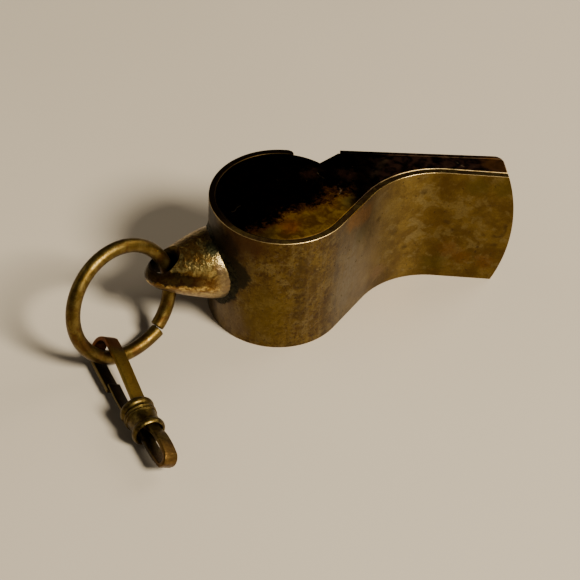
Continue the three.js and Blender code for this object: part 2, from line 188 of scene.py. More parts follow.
def smooth_line(points, steps, closed=False):
    """A Catmull-Rom curve through the points."""
    line = []
    for span in range(len(points) if closed else len(points) - 1):
        a, b, c, d = [point_at(points, span + shift, closed) for shift in (-1, 0, 1, 2)]
        for i in range(steps):
            t = i / steps
            line.append(0.5 * (2 * b + (c - a) * t + (2 * a - 5 * b + 4 * c - d) * t ** 2
                               + (3 * b - a - 3 * c + d) * t ** 3))
    if not closed:
        line.append(points[-1].copy())
    return line


def offset_line(points, distance, closed=False):
    """The line moved to the left of its heading, each corner along its mitre."""
    moved = []
    for i, point in enumerate(points):
        coming = point - point_at(points, i - 1, closed)
        going = point_at(points, i + 1, closed) - point
        arriving = coming.normalized() if coming.length > 0 else going.normalized()
        leaving = going.normalized() if going.length > 0 else arriving
        heading = (arriving + leaving).normalized()
        normal = Vector((-heading.y, heading.x))
        moved.append(point + normal * distance / max(heading.dot(arriving), 0.5))
    return moved


# -------- solids

def add_object(name, data):
    item = bpy.data.objects.new(name, data)
    bpy.context.scene.collection.objects.link(item)
    return item


def skin(mesh_builder, rings):
    """Quads between each ring of vertices and the next."""
    for first, second in zip(rings, rings[1:]):
        for i in range(len(first)):
            after = (i + 1) % len(first)
            mesh_builder.faces.new([first[i], first[after], second[after], second[i]])


def new_piece(name, mesh_builder, smooth_angle=40):
    """Wraps a finished bmesh as an object, shaded smooth where its faces meet at less than the angle."""
    bmesh.ops.recalc_face_normals(mesh_builder, faces=mesh_builder.faces)
    for face in mesh_builder.faces:
        face.smooth = True
    limit = math.radians(smooth_angle)
    for edge in mesh_builder.edges:
        edge.smooth = len(edge.link_faces) == 2 and edge.calc_face_angle(0) < limit
    mesh = bpy.data.meshes.new(name)
    mesh_builder.to_mesh(mesh)
    mesh_builder.free()
    return add_object(name, mesh)


def round_edges(piece, width, segments=3):
    modifier = piece.modifiers.new("rounded_edges", "BEVEL")
    modifier.width = width
    modifier.segments = segments
    modifier.limit_method = "ANGLE"
    modifier.angle_limit = math.radians(ARRIS_FROM_DEG)
    modifier.harden_normals = True
    return piece


def block(name, counts, place, closed=False):
    """A solid of quads, where place(i, j, k) is the point i steps along, j across and k through."""
    along, across, through = counts
    builder = bmesh.new()
    made = {}

    def vertex(i, j, k):
        key = (i % along if closed else i, j, k)
        if key not in made:
            made[key] = builder.verts.new(place(*key))
        return made[key]

    def quads(first, second, corner):
        for a in range(first):
            for b in range(second):
                ring = [corner(a, b), corner(a + 1, b), corner(a + 1, b + 1), corner(a, b + 1)]
                builder.faces.new([vertex(*key) for key in ring])

    for k in (0, through):
        quads(along, across, lambda a, b: (a, b, k))
    for j in (0, across):
        quads(along, through, lambda a, b: (a, j, b))
    if not closed:
        for i in (0, along):
            quads(across, through, lambda a, b: (i, a, b))
    return new_piece(name, builder)


def turned(name, profile, segments, placement=Matrix.Identity(4)):
    """A turned solid about the placement's X axis. Its (along, radius) pairs start and end on the axis."""
    builder = bmesh.new()
    rings = []
    for along, radius in profile:
        sides = circle(radius, segments) if radius > 1e-9 else [Vector((0, 0))]
        rings.append([builder.verts.new(placement @ Vector((along, *side))) for side in sides])
    for first, second in zip(rings, rings[1:]):
        for i in range(segments):
            after = (i + 1) % segments
            corners = [first[i % len(first)], first[after % len(first)],
                       second[after % len(second)], second[i % len(second)]]
            unique = list(dict.fromkeys(corners))
            if len(unique) > 2:
                builder.faces.new(unique)
    return new_piece(name, builder)


def cut(piece, cutter):
    """Takes the cutter out of the piece and removes it."""
    modifier = piece.modifiers.new("cut", "BOOLEAN")
    modifier.operation = "DIFFERENCE"
    modifier.solver = "EXACT"
    modifier.object = cutter
    bpy.context.view_layer.update()
    graph = bpy.context.evaluated_depsgraph_get()
    builder = bmesh.new()
    builder.from_mesh(piece.evaluated_get(graph).to_mesh())
    name = piece.name
    bmesh.ops.remove_doubles(builder, verts=builder.verts, dist=1e-7)
    for old in (piece, cutter):
        bpy.data.objects.remove(old)
    return new_piece(name, builder, 32)


def stands_for(piece, body, slot, *nodes):
    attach(piece, body)
    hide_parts(*nodes)
    return piece


# -------- whistle body

def mouth_end(level, across):
    """How far the mouth reaches in X at a height over the barrel's axis and a place across the width."""
    corner_level = ROOF_TOP - MOUTH_CORNER
    radius = MOUTH_RADIUS - MOUTH_SLANT * (min(level, corner_level) - MOUTH_LEVEL)
    if level > corner_level:
        fall = min(level - corner_level, MOUTH_CORNER)
        radius += math.sqrt(MOUTH_CORNER ** 2 - fall ** 2) - MOUTH_CORNER
    return MOUTH_REACH - MOUTH_RADIUS + math.sqrt(radius ** 2 - (across - MID) ** 2)


def hollow_curve():
    """Centre of the hollow curve under the mouthpiece, and the angles where it starts and ends."""
    ramp_end = polar(BARREL_RADIUS, LEAVE_DEG) + polar(RAMP_LENGTH, LEAVE_DEG + 90)
    return ramp_end + polar(HOLLOW_RADIUS, LEAVE_DEG), LEAVE_DEG - 180, UNDERSIDE_DEG + 90


def body_point(share, depth, lip_deg, across):
    """A point of the wall, from the lip (share 0) round the barrel and the S curve to the mouth (1)."""
    barrel_share, ramp_share, hollow_share = 0.6, 0.68, 0.86
    centre, hollow_start, hollow_end = hollow_curve()
    if share <= barrel_share:
        return polar(BARREL_RADIUS - depth, blend(lip_deg, LEAVE_DEG, share / barrel_share))
    if share <= ramp_share:
        low = polar(BARREL_RADIUS - depth, LEAVE_DEG)
        high = centre + polar(HOLLOW_RADIUS + depth, hollow_start)
        return blend(low, high, (share - barrel_share) / (ramp_share - barrel_share))
    if share <= hollow_share:
        turn = (share - ramp_share) / (hollow_share - ramp_share)
        return centre + polar(HOLLOW_RADIUS + depth, blend(hollow_start, hollow_end, turn))
    last = centre + polar(HOLLOW_RADIUS + depth, hollow_end)
    slope = math.tan(math.radians(UNDERSIDE_DEG))
    level = last.y
    for _ in range(4):
        end_x = mouth_end(level, across)
        level = last.y + (end_x - last.x) * slope
    return blend(last, Vector((end_x, level)), (share - hollow_share) / (1 - hollow_share))


def lip_angle(depth):
    """The wall's end rounds over from its outer face to the lip's edge on the inner face."""
    turn = math.acos(1 - min(depth / BAND, 1))
    return LIP_END_DEG + (LIP_START_DEG - LIP_END_DEG) * (1 - math.sin(turn))


def barrel_band():
    steps, across_steps, through = 250, 28, 4

    def place(i, j, k):
        depth = BAND * k / through
        across = WIDTH * j / across_steps
        point = body_point(i / steps, depth, lip_angle(depth), across)
        return Vector((point.x, point.y, across))

    piece = block("band", (steps, across_steps, through), place)
    round_edges(piece, ARRIS * 2.2)
    return stands_for(piece, "whistle", "band_brass", "barrel_band")


def side_plate(name, node, start):
    depth = BAND + SEAM
    radius = BARREL_RADIUS - depth
    notch = Vector((NOTCH_X, math.sqrt(radius ** 2 - NOTCH_X ** 2)))
    notch_deg = math.degrees(math.atan2(notch.y, notch.x))
    ceiling = ROOF_TOP - SHEET - SEAM
    steps, mouth_steps = 250, 12

    def outline(across):
        points = [body_point(i / steps, depth, notch_deg, across) for i in range(steps + 1)]
        low = points[-1].y
        for i in range(1, mouth_steps + 1):
            level = blend(low, ceiling, i / mouth_steps)
            points.append(Vector((mouth_end(level, across), level)))
        points.append(Vector((ROOF_START - 0.3 * MM, ceiling)))
        return points

    builder = bmesh.new()
    rings = []
    for across in (start, start + SHEET):
        rings.append([builder.verts.new((p.x, p.y, across)) for p in outline(across)])
    skin(builder, rings)
    for ring in rings:
        builder.faces.new(ring)
    piece = new_piece(name, builder)
    round_edges(piece, ARRIS * 2)
    return stands_for(piece, "whistle", "plate_brass", node)


def mouthpiece_roof():
    steps, across_steps, through = 24, 28, 6

    def place(i, j, k):
        level = ROOF_TOP - SHEET * k / through
        across = WIDTH * j / across_steps
        return Vector((blend(ROOF_START, mouth_end(level, across), i / steps), level, across))

    piece = block("roof", (steps, across_steps, through), place)
    round_edges(piece, ARRIS * 1.5)
    return stands_for(piece, "whistle", "plate_brass", "mouthpiece_roof")


def windway_tongue():
    radius = BARREL_RADIUS - BAND + TONGUE_SHEET / 2
    front = arc(Vector((0, 0)), radius, TONGUE_FOOT_DEG, TONGUE_TURN_DEG, 48)
    middle = front + [TONGUE_EDGE, TONGUE_END]
    inner = offset_line(middle, TONGUE_SHEET / 2)
    outer = offset_line(middle, -TONGUE_SHEET / 2)
    inset = SHEET + SEAM

    def place(i, j, k):
        point = blend(inner[i], outer[i], k)
        return Vector((point.x, point.y, blend(inset, WIDTH - inset, j)))

    piece = block("tongue", (len(middle) - 1, 1, 1), place)
    round_edges(piece, ARRIS, 2)
    return stands_for(piece, "whistle", "plate_brass", "windway_tongue")


def cork_pea():
    builder = bmesh.new()
    bmesh.ops.create_icosphere(builder, subdivisions=6, radius=1)
    for vertex in builder.verts:
        out = vertex.co.normalized()
        grain = noise.noise(out * 9) * 0.008 + noise.noise(out * 30) * 0.004
        pit = max(0.0, noise.noise(out * 14 + Vector((3, 1, 2))) - 0.42) * 0.09
        vertex.co = PEA_CENTRE + out * PEA_RADIUS * (0.986 + grain - pit)
    return stands_for(new_piece("pea", builder, 80), "pea", "cork", "cork_pea")


# -------- lug

def lug_placement():
    return Matrix.Translation((0, 0, MID)) @ Matrix.Rotation(math.radians(LUG_DEG), 4, "Z")


def barrel_surface(radius, aside):
    """How far the cylinder of that radius reaches along the lug at a distance aside from its axis."""
    return math.sqrt(radius ** 2 - aside ** 2)


def lug_profile():
    points = [Vector(pair) * MM for pair in LUG_PROFILE] + [Vector((LUG_TIP, 0))]
    return smooth_line(points, 5)


def lug_hole_tool():
    """The shape of the lug's hole, which opens out towards both ends."""
    clear = 2 * LUG_HOLE_EASE
    profile = [(-clear, 0), (-clear, LUG_HOLE_MOUTH)]
    for step in range(-10, 11):
        part = step / 10
        radius = LUG_HOLE_RADIUS + (LUG_HOLE_MOUTH - LUG_HOLE_RADIUS) * abs(part) ** 1.5
        profile.append((part * LUG_HOLE_EASE, radius))
    profile += [(clear, LUG_HOLE_MOUTH), (clear, 0)]
    upright = Matrix.Rotation(math.radians(-90), 4, "Y")
    placement = lug_placement() @ Matrix.Translation((LUG_HOLE, 0, 0)) @ upright
    return turned("hole_tool", profile, 64, placement)


def ring_lug():
    segments, foot_rings = 112, 6
    seat = BARREL_RADIUS + LUG_GAP
    placement = lug_placement()
    builder = bmesh.new()
    rings = []
    profile = lug_profile()
    lows = [barrel_surface(seat, side.x) for side in circle(LUG_FOOT, segments)]
    for i in range(foot_rings):
        share = i / foot_rings
        sides = circle(blend(LUG_FOOT, profile[0].y, share ** 2), segments)
        rings.append([Vector((blend(low, profile[0].x, share), *side)) for low, side in zip(lows, sides)])
    for point in profile[:-1]:
        rings.append([Vector((point.x, *side)) for side in circle(point.y, segments)])
    made = [[builder.verts.new(placement @ point) for point in ring] for ring in rings]
    skin(builder, made)
    tip = builder.verts.new(placement @ Vector((LUG_TIP, 0, 0)))
    back = builder.verts.new(placement @ Vector((seat, 0, 0)))
    for j in range(segments):
        after = (j + 1) % segments
        builder.faces.new([made[-1][j], made[-1][after], tip])
        builder.faces.new([made[0][after], made[0][j], back])
    piece = new_piece("lug", builder)
    piece = cut(piece, lug_hole_tool())
    return stands_for(piece, "whistle", "lug_brass", "ring_lug")


def lug_solder():
    """A thin uneven fillet of solder and grime round the lug's foot, thinning out over the barrel."""
    segments, spread = 180, 14
    placement = lug_placement()

    def place(i, j, k):
        degrees = 360 * i / segments
        around = polar(1, degrees)
        wander = noise.noise(Vector((around.x * 2.3, around.y * 2.3, 0.7)))
        ragged = noise.noise(Vector((around.x * 8, around.y * 8, 4.1)))
        reach = (0.75 + 0.55 * wander + 0.3 * ragged) * MM
        share = j / spread
        radius = blend(LUG_FOOT + 0.02 * MM, LUG_FOOT + max(reach, 0.3 * MM), share)
        lumps = noise.noise(Vector((around.x * 14, around.y * 14, share * 4)))
        height = (0.02 + 0.30 * (1 - share) ** 2.2 * (1 + 0.35 * lumps)) * MM if k else 0.012 * MM
        side = polar(radius, degrees)
        along = barrel_surface(BARREL_RADIUS, side.x) + height
        return placement @ Vector((along, side.x, side.y))

    piece = block("solder", (segments, spread, 1), place, closed=True)
    return stands_for(piece, "whistle", "solder", "lug_solder")


# -------- split ring

RING_LEVEL = Vector((*polar(1, RING_DEG), 0))
RING_SIDE = Vector((-RING_LEVEL.y, RING_LEVEL.x, 0))
RING_UP = (Vector((0, 0, math.cos(math.radians(RING_LEAN_DEG))))
           + RING_SIDE * math.sin(math.radians(RING_LEAN_DEG)))
RING_NORMAL = RING_LEVEL.cross(RING_UP)
RING_CENTRE = Vector((RING_CENTRE_X, RING_CENTRE_Y, RING_RADIUS * RING_UP.z + RING_WIRE + RING_LIFT))


def ring_wire_point(share):
    """The wire's middle line. The last stretch springs out beside the first."""
    degrees = RING_JOINT_DEG + RING_GAP_DEG / 2 - 360 + (360 - RING_GAP_DEG) * share
    spring = max(0, 1 - (1 - share) * 11) ** 2
    relax = max(0, 1 - share * 9) ** 2
    radius = RING_RADIUS + RING_MISFIT * spring - 0.25 * RING_MISFIT * relax
    flat = polar(radius, degrees)
    return RING_CENTRE + RING_LEVEL * flat.x + RING_UP * flat.y + RING_NORMAL * 0.5 * RING_MISFIT * spring


def split_ring():
    steps, sides = 260, 28
    centres = [ring_wire_point(i / steps) for i in range(steps + 1)]
    builder = bmesh.new()
    rings = []
    for i, centre in enumerate(centres):
        heading = (centres[min(i + 1, steps)] - centres[max(i - 1, 0)]).normalized()
        out = (centre - RING_CENTRE).normalized()
        side = heading.cross(out).normalized()
        out = side.cross(heading)
        at_end = i in (0, steps)
        radius = RING_WIRE - RING_CHAMFER if at_end else RING_WIRE
        places = [centre + out * around.x + side * around.y for around in circle(radius, sides)]
        rings.append([builder.verts.new(place) for place in places])
    for end, neighbour in ((0, 1), (steps, steps - 1)):
        way = centres[end] - centres[neighbour]
        for vertex in rings[neighbour]:
            vertex.co += way.normalized() * (way.length - RING_CHAMFER)
    skin(builder, rings)
    for ring in (rings[0], rings[-1]):
        builder.faces.new(ring)
    return stands_for(new_piece("ring", builder), "ring", "ring_brass", "split_ring")


# -------- swivel snap hook

def clip_frame():
    """The clip's own frame, from its joints: X from the ferrule to the hook, Y across the strips."""
    swivel, gate = JOINTS["eye_swivel"], JOINTS["gate_press"]
    x = Vector(swivel["axis"]).normalized()
    y = -Vector(gate["axis"]).normalized()
    z = x.cross(y).normalized()
    placement = Matrix((x, y, z)).transposed().to_4x4()
    placement.translation = Vector(swivel["pos_m"])
    return placement


CLIP = clip_frame()


def strip(name, middle, thickness, width, rounding, closed=False):
    """A flat strip with rounded edges. Its middle line is in the clip's XZ plane, its width along Y."""
    normals = [moved - point for moved, point in zip(offset_line(middle, MM, closed), middle)]
    corner_steps = 4
    section = []
    for side_y, side_n, start in ((1, 1, 0), (-1, 1, 90), (-1, -1, 180), (1, -1, 270)):
        centre = Vector((side_y * (width / 2 - rounding), side_n * (thickness / 2 - rounding)))
        directions = arc(Vector((0, 0)), 1, start, start + 90, corner_steps)
        section += [(centre, direction) for direction in directions]
    builder = bmesh.new()

    def ring_at(point, normal, radius):
        ring = []
        for centre, direction in section:
            corner = centre + direction * radius
            flat = point + normal * (corner.y / MM)
            ring.append(builder.verts.new(CLIP @ Vector((flat.x, corner.x, flat.y))))
        return ring

    rings = [ring_at(point, normal, rounding) for point, normal in zip(middle, normals)]
    if closed:
        rings.append(rings[0])
    else:
        before = middle[0] - (middle[1] - middle[0]).normalized() * rounding
        beyond = middle[-1] + (middle[-1] - middle[-2]).normalized() * rounding
        first = ring_at(before, normals[0], rounding * 0.2)
        last = ring_at(beyond, normals[-1], rounding * 0.2)
        rings = [first] + rings + [last]
        for end in (first, last):
            builder.faces.new(end)
    skin(builder, rings)
    return new_piece(name, builder, 60)


def clip_hook():
    bend = arc(Vector((HOOK_LENGTH, HOOK_RISE)), HOOK_BEND, 86, -76, 12)
    leg = [Vector((-HOOK_TANG + STRIP_EDGE, HOOK_NECK))]
    leg += [Vector(pair) * MM + Vector((0, HOOK_NECK)) for pair in HOOK_LEG]
    nose = [Vector(pair) * MM + Vector((0, HOOK_RISE)) for pair in HOOK_FALL]
    nose.append(Vector(HOOK_NOSE) + Vector((STRIP_EDGE, HOOK_RISE)))
    middle = smooth_line(leg + bend + nose, 5)
    piece = strip("hook", middle, CLIP_STRIP, CLIP_WIDTH, STRIP_EDGE)
    return stands_for(piece, "clip", "clip_brass", "clip_hook")


def clip_gate():
    start, end = GATE_EDGE - HOOK_TANG, GATE_TIP - GATE_EDGE
    pairs = ((start, 0), (0.6 * MM, 0), (3.4 * MM, -0.03 * MM), (end, 0.12 * MM))
    middle = smooth_line([Vector((x, GATE_NECK + z)) for x, z in pairs], 8)
    piece = strip("gate", middle, GATE_STRIP, CLIP_WIDTH - 0.2 * MM, GATE_EDGE)
    return stands_for(piece, "gate", "clip_brass", "clip_gate")


def clip_ferrule():
    bead = arc(Vector((-BEAD_ROUND, BEAD_RADIUS - BEAD_ROUND)), BEAD_ROUND, 0, 180, 20)
    behind = smooth_line([Vector(pair) for pair in FERRULE_PROFILE], 4)
    outside = [point * MM for point in bead[:-1] + behind]
    cup = [(-FERRULE_LENGTH, CUP_RADIUS + CUP_FLARE), (-4.75 * MM, CUP_RADIUS),
           (-FERRULE_WEB, CUP_RADIUS), (-FERRULE_WEB, 0)]
    profile = [(0, 0)] + [(point.x, point.y) for point in outside] + cup
    piece = turned("ferrule", profile, 72, CLIP)
    depth = HOOK_TANG + FIT

    def slot(level, thickness, room=0.0):
        """A slot for a strip, deeper on its outer side by the room the strip's tang needs when it tips."""
        half_width = CLIP_WIDTH / 2 + FIT
        half_height = thickness / 2 + FIT

        def place(i, j, k):
            height = half_height if k else -half_height - room
            return CLIP @ Vector(((2 * i - 1) * depth, (2 * j - 1) * half_width, level + height))

        return block("slot_tool", (1, 1, 1), place)

    piece = cut(piece, slot(HOOK_NECK, CLIP_STRIP))
    piece = cut(piece, slot(GATE_NECK, GATE_STRIP, GATE_ROOM))
    return stands_for(piece, "clip", "clip_brass", "clip_ferrule")


def swivel_rivet():
    reach = EYE_BASE / MM - 0.3
    radius, head = RIVET_RADIUS / MM, RIVET_HEAD / MM
    dome = [(reach - 0.45, 0), (reach - 0.44, 0.2), (reach - 0.40, 0.38), (reach - 0.30, 0.52)]
    profile = dome + [(reach - 0.18, head), (reach - 0.1, head), (reach - 0.1, radius),
                      (0.1, radius), (0.1, 0.5), (0.3, 0.42), (0.4, 0.2), (0.42, 0)]
    piece = turned("rivet", [(x * MM, y * MM) for x, y in profile], 32, CLIP)
    return stands_for(piece, "clip", "clip_brass", "swivel_rivet")


def swivel_eye():
    centre, radius = EYE_ROUND
    base = EYE_BASE / MM
    upper = [(base, 0), (base + 0.02, EYE_UPPER - 0.3), (base - 0.35, EYE_UPPER), (-5.1, EYE_UPPER),
             (-6.6, EYE_BULGE), (-8.4, EYE_BULGE + 0.05)]
    lower = [(-7.8, EYE_LOWER - 0.05), (base - 0.35, EYE_LOWER), (base + 0.02, EYE_LOWER + 0.3)]
    loop = [*map(Vector, upper), *arc(Vector(centre), radius, 98, 250, 8), *map(Vector, lower)]
    middle = smooth_line([point * MM for point in loop], 5, closed=True)
    piece = strip("eye", middle, EYE_STRIP, CLIP_WIDTH - 0.1 * MM, EYE_EDGE, closed=True)
    shank = RIVET_RADIUS + 0.08 * MM
    profile = [(-4 * MM, 0), (-4 * MM, shank), (-3 * MM, shank), (-3 * MM, 0)]
    piece = cut(piece, turned("rivet_hole_tool", profile, 32, CLIP))
    return stands_for(piece, "eye", "clip_brass", "swivel_eye")


# -------- materials

class Surface:
    """A material's nodes. Lengths in the coordinates are millimetres in the object's own frame."""

    def __init__(self, name):
        self.material = bpy.data.materials.new(name)
        self.material.use_nodes = True
        self.tree = self.material.node_tree
        self.tree.nodes.clear()
        output = self.node("OutputMaterial")
        self.shader = self.node("BsdfPrincipled")
        self.feed(output.inputs["Surface"], self.shader.outputs[0])
        coordinates = self.node("TexCoord")
        self.place = self.scaled(coordinates.outputs["Object"], (1000, 1000, 1000))
        self.normal = coordinates.outputs["Normal"]
        split = self.node("SeparateXYZ", Vector=self.normal)
        self.facing_up = self.math("ABSOLUTE", split.outputs["Z"])
        self.rounded = self.between(self.facing_up, 0.28, 0.9, 0.1)  # a sheet's rounded edges
        self.x, self.y, self.z = [self.along(axis) for axis in ((1, 0, 0), (0, 1, 0), (0, 0, 1))]
        self.warps = {}

    def feed(self, socket, value):
        if isinstance(value, bpy.types.NodeSocket):
            self.tree.links.new(value, socket)
        elif isinstance(value, (tuple, list)) and len(value) == 3 and socket.type == "RGBA":
            socket.default_value = (*value, 1)
        else:
            socket.default_value = value

    def node(self, kind, **values):
        """A new node, its inputs fed by name. An underscore stands for a space in the input's name."""
        node = self.tree.nodes.new("ShaderNode" + kind)
        for name, value in values.items():
            self.feed(node.inputs[name.replace("_", " ")], value)
        return node

    def operation_node(self, kind, operation, *terms):
        node = self.node(kind)
        node.operation = operation
        for socket, term in zip(node.inputs, terms):
            self.feed(socket, term)
        return node

    def scaled(self, vector, scale):
        return self.node("Mapping", Vector=vector, Scale=scale).outputs[0]

    def noise_node(self, scale, detail=4, roughness=0.55, distortion=0, vector=None):
        return self.node("TexNoise", Vector=vector or self.place, Scale=scale, Detail=detail,
                         Roughness=roughness, Distortion=distortion)

    def noise(self, *settings):
        return self.noise_node(*settings).outputs[0]

    def cells(self, scale):
        return self.node("TexVoronoi", Vector=self.place, Scale=scale).outputs["Distance"]

    def vector_math(self, operation, a, b):
        return self.operation_node("VectorMath", operation, a, b)

    def math(self, operation, a, b=0.0):
        return self.operation_node("Math", operation, a, b).outputs[0]

    def warped(self, amount):
        """The coordinates shaken by noise, by about the amount in millimetres, for ragged edges."""
        if amount not in self.warps:
            shake = self.noise_node(0.9, 5, 0.65).outputs["Color"]
            centred = self.vector_math("SUBTRACT", shake, (0.5, 0.5, 0.5)).outputs["Vector"]
            grown = self.vector_math("MULTIPLY", centred, (4 * amount,) * 3).outputs["Vector"]
            self.warps[amount] = self.vector_math("ADD", self.place, grown).outputs["Vector"]
        return self.warps[amount]

    def sum(self, *terms):
        """Adds up (value, factor) pairs."""
        total = 0.0
        for value, factor in terms:
            total = self.operation_node("Math", "MULTIPLY_ADD", value, factor, total).outputs[0]
        return total

    def step(self, value, low, high, out_low=0.0, out_high=1.0):
        """A smooth step from out_low to out_high as the value goes from low to high."""
        node = self.node("MapRange", Value=value, From_Min=low, From_Max=high,
                         To_Min=out_low, To_Max=out_high)
        node.interpolation_type = "SMOOTHSTEP"
        return node.outputs[0]

    def mix(self, share, a, b):
        node = self.node("Mix", Factor=share)
        node.data_type = "RGBA"
        first, second = [socket for socket in node.inputs if socket.type == "RGBA"]
        self.feed(first, a)
        self.feed(second, b)
        return node.outputs[2]

    def layered(self, colour, *layers):
        """The colour with (mask, share, new colour) layers laid over it in turn."""
        for mask, share, new in layers:
            colour = self.mix(self.math("MULTIPLY", mask, share), colour, new)
        return colour

    def both(self, *masks):
        """A mask of what lies in all the masks."""
        total = masks[0]
        for mask in masks[1:]:
            total = self.math("MULTIPLY", total, mask)
        return total

    def either(self, *masks):
        """A mask of what lies in any of the masks."""
        total = masks[0]
        for mask in masks[1:]:
            total = self.math("MAXIMUM", total, mask)
        return total

    def along(self, direction, vector=None):
        return self.vector_math("DOT_PRODUCT", vector or self.place, direction).outputs["Value"]

    def patch(self, points, radius, soft=0.6, ragged=0.0, squash=(1, 1, 1)):
        """A mask that is 1 near any of the points. The squash shrinks distances along an axis."""
        base = self.warped(ragged) if ragged else self.place
        if squash != (1, 1, 1):
            base = self.scaled(base, squash)
        masks = []
        for point in points:
            centre = tuple(value * factor for value, factor in zip(point, squash))
            far = self.vector_math("DISTANCE", base, centre).outputs["Value"]
            masks.append(self.step(far, radius - soft, radius + soft, 1.0, 0.0))
        return self.either(*masks)

    def trail(self, points, radius, soft, ragged):
        """A mask along the smooth line through the points."""
        line = smooth_line([Vector(point) for point in points], 5)
        return self.patch([tuple(point) for point in line], radius, soft, ragged)

    def between(self, value, low, high, soft):
        """A mask that is 1 where the value lies between low and high."""
        above = self.step(value, low - soft, low + soft)
        below = self.step(value, high - soft, high + soft, 1, 0)
        return self.both(above, below)

    def worn_and_highlit_arris(self):
        """A mask of a sheet's rounded edges, where handling keeps the brass bright and where a highlight is
        painted.
        """
        return self.both(self.rounded, self.step(self.noise(0.5, 3), 0.3, 0.5, 0.45, 1.0))

    def bump(self, height, depth, strength):
        node = self.node("Bump", Strength=strength, Distance=depth, Height=height)
        self.feed(self.shader.inputs["Normal"], node.outputs[0])

    def finish(self, colour, roughness, metallic=1.0):
        self.feed(self.shader.inputs["Base Color"], colour)
        self.feed(self.shader.inputs["Roughness"], roughness)
        self.feed(self.shader.inputs["Metallic"], metallic)
        return self.material


DARK = (0.009, 0.004, 0.003)  # the brown-black of the side plates
WORN_AND_HIGHLIGHT = (0.62, 0.43, 0.17)  # bare brass where wear keeps the edges bright, and the painted highlight along edges that face the lamp
GRIME = (0.010, 0.009, 0.004)  # greenish black round the lug's foot
RIM = WIDTH / MM  # level of the plate and the rim that face up


def band_patina(s, blotch, barrel):
    """The band's mottled brown, before its patches. The barrel's part is the more blotched."""
    clouds = s.noise(0.32, 7, 0.62, 0.3)
    mottle = s.noise(1.5, 6, 0.7, 0.9)
    hazy = s.noise(0.42, 5, 0.6, 0.3)
    dabs = s.noise(1.9, 4, 0.62, 0.4)
    streaks = s.noise(0.9, 4, 0.55, 0.3, s.scaled(s.place, (1, 1, 0.13)))

    def on_barrel(value, low, high):
        return s.both(s.step(value, low, high), barrel)

    return s.layered(
        s.mix(s.step(clouds, 0.38, 0.62), (0.088, 0.049, 0.007), (0.15, 0.093, 0.016)),
        (on_barrel(blotch, 0.5, 0.62), 0.85, (0.058, 0.027, 0.006)),
        (s.step(hazy, 0.52, 0.62), 0.65, (0.18, 0.13, 0.045)),
        (s.step(hazy, 0.46, 0.36), 0.5, (0.085, 0.045, 0.006)),
        (on_barrel(mottle, 0.54, 0.62), 0.55, (0.165, 0.115, 0.055)),
        (on_barrel(dabs, 0.56, 0.64), 0.75, (0.03, 0.014, 0.004)),
        (on_barrel(mottle, 0.47, 0.39), 0.6, (0.05, 0.022, 0.005)),
        (on_barrel(streaks, 0.53, 0.62), 0.35, (0.045, 0.026, 0.008)),
        (on_barrel(streaks, 0.44, 0.36), 0.35, (0.17, 0.12, 0.045)),
    )


def band_patches(s, colour):
    """The band's large stains, from the barrel to the mouth."""
    streaks = s.noise(1.1, 4, 0.6, 0.3, s.scaled(s.place, (1, 1, 0.14)))
    arcs = s.noise(0.8, 4, 0.6, 1.2)
    grey = s.patch([(9.8, -3.4, 9.0)], 3.6, 1.6, 0.5, (1, 1, 0.5))
    grey = s.both(grey, s.step(streaks, 0.38, 0.6, 0.3, 1.0), s.step(arcs, 0.38, 0.5, 0.25, 1.0))
    lilac = s.patch([(-5.9, -8.1, 3.2), (-7.4, -6.6, 4.6)], 2.4, 1.3, 0.9)
    olive = s.patch([(-1.5, -9.8, 8.0), (-2.0, -9.8, 4.5)], 3.0, 1.5, 0.9)
    orange = s.patch([(9.6, -3.2, 18.6), (10.4, -1.6, 18.0), (11.4, -0.2, 17.4)], 1.6, 0.8, 0.6)
    greens = [(11.3, -1.0, 14.2), (27.9, 5.9, 17.6), (31.6, 5.7, 17.6), (23.0, 6.1, 2.6)]
    light = s.trail([(13.4, 1.8, 17.9), (12.6, 0.8, 13.9), (11.6, -0.7, 10.6)], 0.45, 0.5, 0.35)
    tan = s.patch([(14.6, 3.0, 3.2)], 1.2, 0.8, 0.5)
    hollow = s.patch([(12.6, 0.8, 12.0), (14.0, 2.4, 8.0), (14.8, 3.2, 14.5)], 2.8, 1.6, 0.8)
    brown = s.patch([(23.3, 6.1, 10.3), (21.6, 6.0, 12.0)], 1.3, 1.0, 1.0)
    red = s.patch([(25.0, 6.0, 5.6), (26.6, 5.9, 4.4), (30.6, 5.8, 3.6)], 1.3, 1.0, 1.0)
    return s.layered(
        colour,
        (grey, 0.9, (0.15, 0.12, 0.07)),
        (lilac, 0.6, (0.12, 0.083, 0.052)),
        (olive, 0.5, (0.135, 0.085, 0.007)),
        (orange, 0.85, (0.21, 0.088, 0.004)),
        (s.patch(greens, 1.6, 0.8, 0.8), 0.6, (0.075, 0.055, 0.005)),
        (light, 0.45, (0.20, 0.14, 0.05)),
        (tan, 0.6, (0.20, 0.12, 0.05)),
        (hollow, 0.4, (0.20, 0.135, 0.03)),
        (brown, 0.45, (0.10, 0.05, 0.005)),
        (red, 0.6, (0.125, 0.045, 0.005)),
    )


